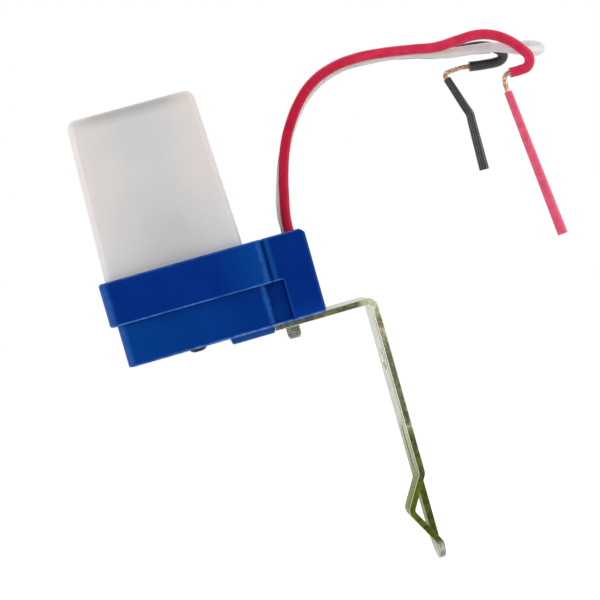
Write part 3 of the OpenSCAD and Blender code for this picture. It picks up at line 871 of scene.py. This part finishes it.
def floor_material():
    """Pale and matt, lifted to white where it is seen, and clear from below."""
    material = bpy.data.materials.new("floor")
    material.use_nodes = True
    tree = material.node_tree
    shader = tree.nodes["Principled BSDF"]
    shader.inputs["Base Color"].default_value = grey(FLOOR_GREY)
    shader.inputs["Roughness"].default_value = 1.0
    shader.inputs["Specular IOR Level"].default_value = 0.0
    glow = tree.nodes.new("ShaderNodeEmission")
    glow.inputs["Strength"].default_value = FLOOR_GLOW
    lifted = tree.nodes.new("ShaderNodeAddShader")
    tree.links.new(shader.outputs[0], lifted.inputs[0])
    tree.links.new(glow.outputs[0], lifted.inputs[1])
    above = mixed(tree, seen_directly(tree), shader.outputs[0], lifted.outputs[0])
    clear = tree.nodes.new("ShaderNodeBsdfTransparent")
    from_below = tree.nodes.new("ShaderNodeNewGeometry").outputs["Backfacing"]
    both = mixed(tree, from_below, above, clear.outputs[0])
    tree.links.new(both, tree.nodes["Material Output"].inputs["Surface"])
    return material


def make_floor():
    """A pale floor well below the bracket's tip."""
    work = bmesh.new()
    bmesh.ops.create_grid(work, x_segments=1, y_segments=1, size=FLOOR_SIZE * MM / 2)
    floor = plain_object(work, "floor")
    floor.data.materials.append(floor_material())
    floor.location.z = cad_box[0].z - FLOOR_DROP * MM


def make_lamps():
    """A tall soft lamp at each side, a weak one over the camera and one above."""
    for name, place, size, power in LAMPS:
        data = bpy.data.lights.new(name, "AREA")
        data.shape = "RECTANGLE"
        data.size = size[0] * MM
        data.size_y = size[1] * MM
        data.energy = power
        lamp = link(name, data)
        lamp.visible_camera = False
        lamp.location = mm(place)
        lamp.rotation_euler = (mm(LAMP_AIM) - mm(place)).to_track_quat("-Z", "Y").to_euler()


# Dome, base and bracket


def dome_rings(inside):
    """Rings up one side of the dome's wall and over its round top edge, set in by a thickness."""
    centre = (DOME_MIDDLE, (DOME_LOW.y + DOME_HIGH.y) / 2)
    half_l = (DOME_HIGH.x - DOME_LOW.x) / 2
    half_w = (DOME_HIGH.y - DOME_LOW.y) / 2
    lean = math.tan(math.radians(DOME_DRAFT))
    seat_top = DOME_LOW.z + DOME_SEAT
    radius = DOME_R - inside
    spring = DOME_HIGH.z - inside - radius
    heights = (DOME_LOW.z, seat_top, seat_top + DOME_LOOP, (seat_top + spring) / 2, spring - DOME_LOOP)
    rings = []
    for z in heights:
        draw = lean * max(z - seat_top, 0) + inside
        rings.append(rounded_rectangle(centre, half_l - draw, half_w - draw, radius, z))
    draw = lean * (spring - seat_top) + inside
    steps = 9
    for step in range(steps + 1):
        angle = math.radians(90 * step / steps)
        back = draw + radius * (1 - math.cos(angle))
        corner = max(radius * math.cos(angle), DOME_LEAST_R)
        z = spring + radius * math.sin(angle)
        rings.append(rounded_rectangle(centre, half_l - back, half_w - back, corner, z))
    return rings


def make_dome():
    """The milky cover: a drafted box with round edges, open at the bottom."""
    work = bmesh.new()
    outer = loft(work, dome_rings(0))
    inner = loft(work, dome_rings(DOME_WALL))
    work.faces.new(outer[-1])
    work.faces.new(inner[-1])
    bridge(work, outer[0], inner[0])
    place_piece(piece_from(work, "dome_shell"), milky_plastic(), "dome_cover")


def base_forms():
    """Forms of the housing: flange, body, wire block, its foot and the neck; no two faces share a plane."""
    less = FORM_INSET
    half_w = BASE_HIGH.y - less
    side = half_w - BODY_STEP
    core = side - POCKET_D
    start = BASE_LOW.x + less
    end = BASE_HIGH.x - less
    top = BASE_HIGH.z - less
    bottom = BASE_LOW.z + less
    seam = FLANGE_FOOT + less
    return [
        rounded_box((start, -half_w, seam), (FLANGE_END - less, half_w, top), FLANGE_R, EDGE_R, EDGE_R),
        rounded_box((start + BODY_STEP, -side, bottom), (BODY_END, side, seam + FORM_LAP),
                    BODY_R, SEAM_R, SEAM_R),
        rounded_box((FLANGE_END - GROOVE_LAP, -side, seam + less), (end, side, top - less),
                    BLOCK_R, EDGE_R, EDGE_R),
        rounded_box((POCKET_END, less - side, bottom + less), (end - less, side - less, seam + FORM_LAP),
                    BLOCK_R, SEAM_R, SEAM_R),
        rounded_box((BODY_END - BODY_R, -core, bottom + 2 * less),
                    (POCKET_END + BLOCK_R, core, seam + 2 * FORM_LAP), SEAM_R, SEAM_R, SEAM_R),
    ]


def plate_forms():
    """Forms of the bottom plate: its sheet, the channels that stand on it and the pad below it."""
    low, high = ends("bottom_plate")
    less = FORM_INSET
    lap = FORM_LAP
    side = BODY_SIDE - less
    under = STRIP_HIGH.z
    pad_end = STRIP_LOW.x - PAD_GAP
    pad_half = (STRIP_HIGH.y - STRIP_LOW.y) / 2 - less
    return [
        rounded_box((low.x + less, -side, under + less), (high.x - less, side, BASE_LOW.z + less),
                    BODY_R, PLATE_EDGE_R, SEAM_R),
        rounded_box((low.x + lap, lap - side, under + lap / 3), (high.x - lap, side - lap, high.z + lap),
                    SEAM_R, SEAM_R, SEAM_R),
        rounded_box((pad_end - PAD_L + less, -pad_half, low.z + less),
                    (pad_end - less, pad_half, under + lap / 2), PLATE_EDGE_R, PLATE_EDGE_R, SEAM_R),
    ]


def make_base():
    """The blue housing and its bottom plate, with the soft edges of a moulding."""
    blue = blue_plastic()
    shell = trimmed_copy("base_housing", "base_shell", base_forms())
    place_piece(shell, blue, "base_housing")
    plate = trimmed_copy("bottom_plate", "base_plate", plate_forms())
    place_piece(plate, blue, "bottom_plate")


def in_slit(place):
    return abs(place.y) < SLIT_W and place.z < SLIT_TOP


def make_bracket():
    """The bent strip with its sheared edges broken; the slit's edges stay sharp."""
    piece = bevelled_copy("mounting_bracket", "bracket_strip", STRIP_EDGE, in_slit)
    place_piece(piece, zinc_strip(), "mounting_bracket")


# Screws


def threaded_rings(radius, depth, pitch, low, high, sides, point):
    """Rings of a screw thread from low to high, thinned to a point at the low end."""
    rings = []
    steps = round((high - low) / pitch * THREAD_STEPS)
    for step in range(steps + 1):
        z = low + (high - low) * step / steps
        shrink = max(0.0, 1 - (z - low) / point) * point / 2
        ring = []
        for side in range(sides):
            turn = side / sides
            phase = (z / pitch - turn) % 1.0
            crest = THREAD_CREST * (1 - abs(2 * phase - 1))
            far = radius - depth * (1 - min(1.0, crest)) - shrink
            angle = 2 * math.pi * turn
            ring.append((far * math.cos(angle), far * math.sin(angle), z))
        rings.append(ring)
    return rings


def cross_cutter():
    """A cross-shaped bar that cuts a driver's recess upwards from z = 0."""
    work = bmesh.new()
    for size in ((CROSS_L, CROSS_W), (CROSS_W, CROSS_L)):
        made = bmesh.ops.create_cube(work, size=1.0)
        for vert in made["verts"]:
            height = (vert.co.z + 0.5) * (CROSS_DEPTH + CROSS_LAP) - CROSS_LAP
            vert.co = mm((vert.co.x * size[0], vert.co.y * size[1], height))
    return plain_object(work, "cutter")


def screw_piece(rings, axis_x, name):
    """A screw from rings about the Z axis, set on an axis of its own."""
    return piece_from(closed_loft([[(axis_x + x, y, z) for x, y, z in ring] for ring in rings]), name)


def make_bracket_screw():
    """Pan-head screw whose threaded end stands out below the strip."""
    low, high = ends("bracket_screw")
    neck = high.z - SCREW_HEAD_H
    rim = neck + SCREW_RIM_H
    head_r = SCREW_HEAD_D / 2
    rings = threaded_rings(SCREW_D / 2, SCREW_THREAD_H, SCREW_PITCH, low.z, neck, SCREW_SIDES, SCREW_POINT)
    rings.append(circle(head_r, neck, SCREW_SIDES))
    for step in range(HEAD_STEPS):
        angle = math.radians(90 * step / HEAD_STEPS)
        rings.append(circle(head_r * math.cos(angle), rim + (high.z - rim) * math.sin(angle), SCREW_SIDES))
    piece = screw_piece(rings, (low.x + high.x) / 2, "bracket_screw_threaded")
    steel = plated_steel("screw_steel", srgb(116, 116, 110), srgb(156, 156, 149), 0.5)
    place_piece(piece, steel, "bracket_screw")


def make_cover_screw():
    """Dark pan-head screw under the middle of the dome, with a cross recess."""
    low, high = ends("cover_screw")
    axis_x = (low.x + high.x) / 2
    head_r = COVER_HEAD_D / 2
    seat = low.z + COVER_HEAD_H
    rim = seat - COVER_RIM_H
    rings = [circle(COVER_FLAT * head_r, low.z, COVER_SIDES)]
    last = HEAD_STEPS - 1
    for step in range(1, HEAD_STEPS):
        angle = math.radians(90 * step / last)
        radius = head_r * (COVER_FLAT + (1 - COVER_FLAT) * math.sin(angle))
        rings.append(circle(radius, rim - (rim - low.z) * math.cos(angle), COVER_SIDES))
    rings += [circle(radius, seat, COVER_SIDES) for radius in (head_r, COVER_SCREW_D / 2)]
    rings += threaded_rings(COVER_SCREW_D / 2, COVER_THREAD_H, COVER_PITCH, seat + COVER_NECK_H, high.z,
                            COVER_SIDES, COVER_POINT)
    piece = screw_piece(rings, axis_x, "cover_screw_crossed")
    cutter = cross_cutter()
    cutter.location = mm((axis_x, 0, low.z))
    combine(piece, cutter, "DIFFERENCE")
    steel = plated_steel("dark_steel", srgb(22, 22, 24), srgb(48, 48, 52), 0.4)
    place_piece(piece, steel, "cover_screw")


# Leads, by points from the middle of each lead hole


LEAD_TURN = [(-3, 0, -10.6), (-0.6, 0, -8.8), (0, 0, -6.5)]
RED_INSIDE = [
    (-19.2, 10, -15.7), (-19.2, 7.2, -15.7), (-18.6, 5.2, -15.6), (-16.6, 3.4, -14.9), (-12, 0.4, -12),
]
WHITE_INSIDE = [
    (-19.2, 6, -12.7), (-19.2, 4.2, -12.7), (-18.6, 2.6, -12.7), (-16.6, 1, -12.4), (-12, 0, -11.7),
]
BLACK_INSIDE = [
    (-19.2, 2, -9.7), (-19.2, 0.4, -9.7), (-18.6, -0.8, -9.7), (-16.4, -1.6, -9.9), (-12, -1, -10.9),
]
RED_OUTSIDE = [
    (0, 0, 0), (0.2, 0, 3.5), (1.2, 0, 8.5), (2.7, 0, 14.3), (5.2, 0, 21), (7.8, 0, 25.4), (10.6, 0, 29),
    (14.8, 0, 32.7), (20.4, 0, 35.1), (26.8, 0, 35.9), (33.3, 0, 35.5), (41.3, 0, 34.3), (46.8, 0, 33.4),
    (52.4, 0, 33.6), (57, 0, 33.7), (60.8, 0, 32.8), (64.4, 0, 30.6), (67.2, 0, 27.6), (68.6, 0, 24.8),
    (67.6, 0, 23), (65.4, 0, 22.6), (63, 0, 22.6),
]
WHITE_OUTSIDE = [
    (0, 0, 0), (-0.3, 0, 2.6), (0, 0, 5.4), (1, 0, 9.4), (2.7, 0, 14), (5.8, 0, 21), (10.2, 0, 27.4),
    (15.2, 0, 32), (22.5, 0, 35), (31, 0, 35.4), (41.3, 0, 34.1), (49.3, 0, 31.8), (56.8, 0, 30.8),
    (62, 0, 30), (66.4, 0, 28.4), (70.6, 0.4, 26.8), (73.4, 2.2, 26.7), (74.2, 4.6, 27.6), (73, 6.8, 28.7),
    (70, 7.6, 29.4), (67, 7.6, 29.8),
]
BLACK_OUTSIDE = [
    (0, 0, 0), (0.15, 0, 2.8), (0.6, 0, 6), (2.3, 0, 12.5), (5.9, 0, 21), (10.2, 0, 27.6), (15.2, 0, 32.3),
    (22.5, 0, 35.4), (31, 0, 35.8), (41.3, 0, 34.6), (49.4, 0, 32.4), (55.6, 0, 32), (58.4, 0, 31.8),
    (61.2, 0, 31.1), (63.4, 0.15, 30), (64.8, 0.8, 28.7), (65, 1.7, 27.6), (64.2, 2.5, 27),
    (62.6, 2.7, 26.9), (60.6, 2.7, 27.05), (58.3, 2.7, 27.3), (56.3, 2.7, 27.6),
]
RED_BARE = [
    (63, 0, 22.6), (62.3, 0, 22.6), (61.6, 0, 22.2), (61.2, 0, 21.5), (61.1, 0, 19.9), (61.2, 0, 18.3),
    (61.6, 0, 14.3),
]
WHITE_BARE = [(67, 7.6, 29.8), (64, 7.6, 30.2), (62.8, 7.6, 30.4), (59, 7.6, 31.2)]
BLACK_BARE = [
    (56.3, 2.7, 27.6), (54.7, 2.7, 27.84), (50.7, 2.7, 27.7), (49.9, 2.7, 27.3), (49.7, 2.7, 26.7),
    (50, 2.7, 25.8), (51.1, 2.7, 22.6),
]
RED_CUT = [(61.2, 0, 18.3), (65.1, 0, -18.9)]
WHITE_CUT = [(62.8, 7.6, 30.4), (39.8, 7.6, 35.2)]
BLACK_CUT = [(49.9, 2.7, 26.2), (53.2, 2.7, 16), (53, 2.7, 1.6)]


def make_insulation(name, points):
    """A lead's insulation as a smooth round curve through its points."""
    data = bpy.data.curves.new(name, "CURVE")
    data.dimensions = "3D"
    data.bevel_depth = LEAD_D / 2 * MM
    data.bevel_resolution = 6
    data.resolution_u = 8
    data.use_fill_caps = True
    spline = data.splines.new("BEZIER")
    spline.bezier_points.add(len(points) - 1)
    for knot, place in zip(spline.bezier_points, points):
        knot.co = mm(place)
        knot.handle_left_type = "AUTO"
        knot.handle_right_type = "AUTO"
    return link(name, data)


def make_strands(name, points):
    """Twisted copper strands round a middle one, along the bare end of a lead."""
    path = smooth_path(points, 10)
    far = along_path(path)
    frames = frames_along(path)
    radius = STRAND_D / 6
    radii = [radius] * len(path)
    work = bmesh.new()
    tube(work, path, radii, STRAND_SIDES)
    for strand in range(STRAND_COUNT):
        turned = []
        for place, reach, (across, third) in zip(path, far, frames):
            angle = 2 * math.pi * (strand / STRAND_COUNT + reach / STRAND_PITCH)
            turned.append(place + 2 * radius * (math.cos(angle) * across + math.sin(angle) * third))
        tube(work, turned, radii, STRAND_SIDES)
    return piece_from(work, name)


def make_sleeve(name, points):
    """A cut length of insulation, hollow, thinner where it was pulled along the strands."""
    path = kinked_path(points, SLEEVE_KINK)
    far = along_path(path)
    outer = [(SLEEVE_D + (LEAD_D - SLEEVE_D) * reach / far[-1]) / 2 for reach in far]
    inner = [SLEEVE_BORE_D / 2] * len(path)
    work = bmesh.new()
    outside = tube(work, path, outer, SLEEVE_SIDES, capped=False)
    inside = tube(work, path, inner, SLEEVE_SIDES, capped=False)
    for end in (0, -1):
        bridge(work, outside[end], inside[end])
    return piece_from(work, name)


def make_lead(colour, side, routes, material, sleeve_material, copper_material):
    """One lead: insulation, bare strands and the cut sleeve that still hangs on them."""
    mouth = Vector((BASE_HIGH.x - LEAD_INSET, side * LEAD_PITCH, BASE_HIGH.z))
    inside, outside, bare, cut = [[mouth + Vector(p) for p in route] for route in routes]
    turn = [mouth + Vector(p) for p in LEAD_TURN]
    points = inside + turn + outside
    lead = make_insulation(f"{colour}_wire", points)
    place_piece(lead, material, f"{colour}_lead")
    strands = make_strands(f"{colour}_wire_strands", bare)
    place_piece(strands, copper_material, f"{colour}_strands")
    sleeve = make_sleeve(f"{colour}_wire_sleeve", cut)
    place_piece(sleeve, sleeve_material, f"{colour}_end_sleeve")


def make_leads():
    bare = copper()
    rosy = (1.0, 0.3, 0.45, 1.0)
    plain = grey(1.0)
    # Painted light: the red lead paler along its far run.
    lit_far_red = (srgb(200, 36, 68), srgb(222, 54, 86))
    red = vinyl("red_vinyl", srgb(176, 8, 42), srgb(198, 16, 56), rosy, lit_far_red)
    pink = vinyl("red_sleeve_vinyl", srgb(222, 82, 110), srgb(238, 106, 130), rosy)
    white = vinyl("white_vinyl", srgb(220, 221, 219), srgb(236, 236, 234), plain)
    black = vinyl("black_vinyl", srgb(18, 19, 19), srgb(36, 37, 37), plain, roughness=0.26, specular=0.5)
    make_lead("red", -1, (RED_INSIDE, RED_OUTSIDE, RED_BARE, RED_CUT), red, pink, bare)
    make_lead("white", 0, (WHITE_INSIDE, WHITE_OUTSIDE, WHITE_BARE, WHITE_CUT), white, white, bare)
    make_lead("black", 1, (BLACK_INSIDE, BLACK_OUTSIDE, BLACK_BARE, BLACK_CUT), black, black, bare)


# Parts inside


def dress_inner_parts():
    """Finishes for the parts on the circuit board, which the dome hides."""
    finishes = {
        "circuit_board": moulded("board_laminate", srgb(150, 112, 52), srgb(176, 136, 70), 0.55),
        "relay": moulded("relay_case", srgb(22, 58, 140), srgb(34, 74, 160), 0.4),
        "film_capacitor": moulded("film_case", srgb(170, 128, 22), srgb(194, 152, 40), 0.35),
        "electrolytic_capacitor": moulded("can_sleeve", srgb(22, 22, 28), srgb(36, 36, 44), 0.3),
        "rectifier_diodes": moulded("diode_epoxy", srgb(24, 24, 24), srgb(40, 40, 40), 0.5),
        "zener_diode": moulded("diode_bead", srgb(170, 84, 44), srgb(196, 108, 62), 0.25),
        "resistors": moulded("resistor_lacquer", srgb(182, 156, 104), srgb(206, 182, 130), 0.4),
        "transistor": moulded("transistor_epoxy", srgb(20, 20, 20), srgb(36, 36, 36), 0.5),
        "photoresistor": moulded("sensor_face", srgb(176, 66, 40), srgb(204, 92, 60), 0.35),
        "solder_joints": plated_steel("solder", srgb(170, 172, 176), srgb(206, 208, 212), 0.25),
    }
    for node, material in finishes.items():
        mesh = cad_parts[node].data
        mesh.materials.clear()
        mesh.materials.append(material)


def main():
    bpy.context.scene.view_settings.view_transform = "Standard"
    make_camera()
    make_leads()
    make_world()
    make_lamps()
    make_floor()
    make_dome()
    make_base()
    make_bracket()
    make_bracket_screw()
    make_cover_screw()
    dress_inner_parts()


main()
